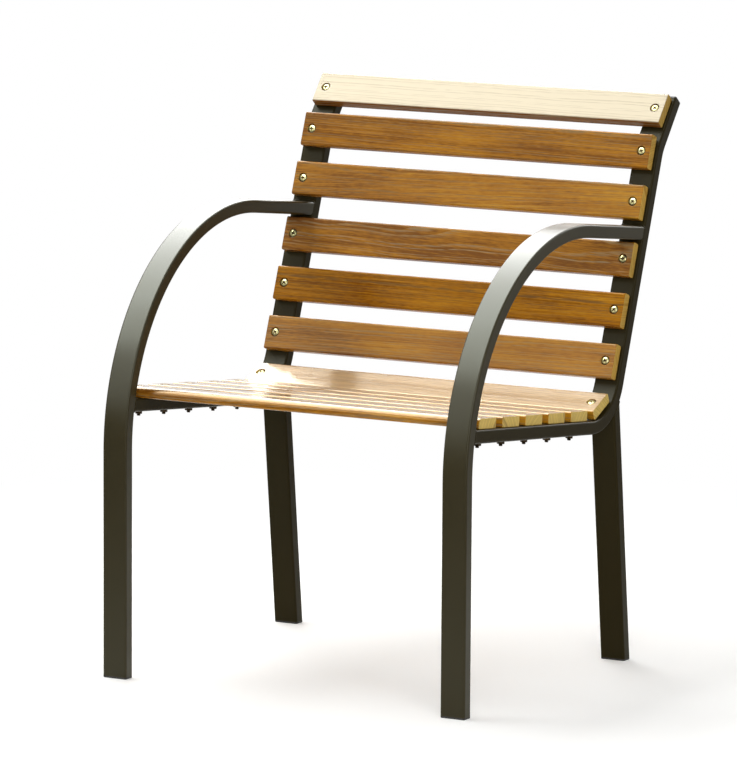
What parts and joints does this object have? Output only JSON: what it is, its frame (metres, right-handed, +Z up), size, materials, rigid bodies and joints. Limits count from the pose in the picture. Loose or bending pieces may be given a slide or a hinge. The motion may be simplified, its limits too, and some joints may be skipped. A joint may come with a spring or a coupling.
{
  "type": "garden armchair",
  "caption": "Outdoor armchair with bent flat-tube steel side frames, curved arms and bolted wooden slats for seat and back.",
  "frame": {"origin": "on the floor, under the middle of the chair's bounding box", "axes": "+Z up, +Y to the rear, +X to the sitter's left"},
  "size_m": [0.61, 0.674, 0.8472],
  "materials": {
    "painted_steel": "satin dark bronze-brown powder coat",
    "varnished_wood": "semi-gloss orange-brown stain and varnish over open grain",
    "zinc_plate": "yellow-passivated zinc plate",
    "black_plastic": "moulded, slightly rough"
  },
  "bodies": {
    "root": {"left_arm_and_front_leg": "painted_steel", "right_arm_and_front_leg": "painted_steel", "left_seat_back_rail": "painted_steel", "right_seat_back_rail": "painted_steel", "left_rear_leg": "painted_steel", "right_rear_leg": "painted_steel", "left_front_foot_cap": "black_plastic", "right_front_foot_cap": "black_plastic", "left_rear_foot_cap": "black_plastic", "right_rear_foot_cap": "black_plastic", "left_top_cap": "black_plastic", "right_top_cap": "black_plastic", "seat_slat_1": "varnished_wood", "seat_slat_2": "varnished_wood", "seat_slat_3": "varnished_wood", "seat_slat_4": "varnished_wood", "seat_slat_5": "varnished_wood", "seat_slat_6": "varnished_wood", "back_slat_1": "varnished_wood", "back_slat_2": "varnished_wood", "back_slat_3": "varnished_wood", "back_slat_4": "varnished_wood", "back_slat_5": "varnished_wood", "back_slat_6": "varnished_wood", "seat_bolt_left_1": "zinc_plate", "seat_bolt_left_2": "zinc_plate", "seat_bolt_left_3": "zinc_plate", "seat_bolt_left_4": "zinc_plate", "seat_bolt_left_5": "zinc_plate", "seat_bolt_left_6": "zinc_plate", "seat_bolt_right_1": "zinc_plate", "seat_bolt_right_2": "zinc_plate", "seat_bolt_right_3": "zinc_plate", "seat_bolt_right_4": "zinc_plate", "seat_bolt_right_5": "zinc_plate", "seat_bolt_right_6": "zinc_plate", "seat_nut_left_1": "zinc_plate", "seat_nut_left_2": "zinc_plate", "seat_nut_left_3": "zinc_plate", "seat_nut_left_4": "zinc_plate", "seat_nut_left_5": "zinc_plate", "seat_nut_left_6": "zinc_plate", "seat_nut_right_1": "zinc_plate", "seat_nut_right_2": "zinc_plate", "seat_nut_right_3": "zinc_plate", "seat_nut_right_4": "zinc_plate", "seat_nut_right_5": "zinc_plate", "seat_nut_right_6": "zinc_plate", "back_bolt_left_1": "zinc_plate", "back_bolt_left_2": "zinc_plate", "back_bolt_left_3": "zinc_plate", "back_bolt_left_4": "zinc_plate", "back_bolt_left_5": "zinc_plate", "back_bolt_left_6": "zinc_plate", "back_bolt_right_1": "zinc_plate", "back_bolt_right_2": "zinc_plate", "back_bolt_right_3": "zinc_plate", "back_bolt_right_4": "zinc_plate", "back_bolt_right_5": "zinc_plate", "back_bolt_right_6": "zinc_plate"}
  },
  "joints": []
}
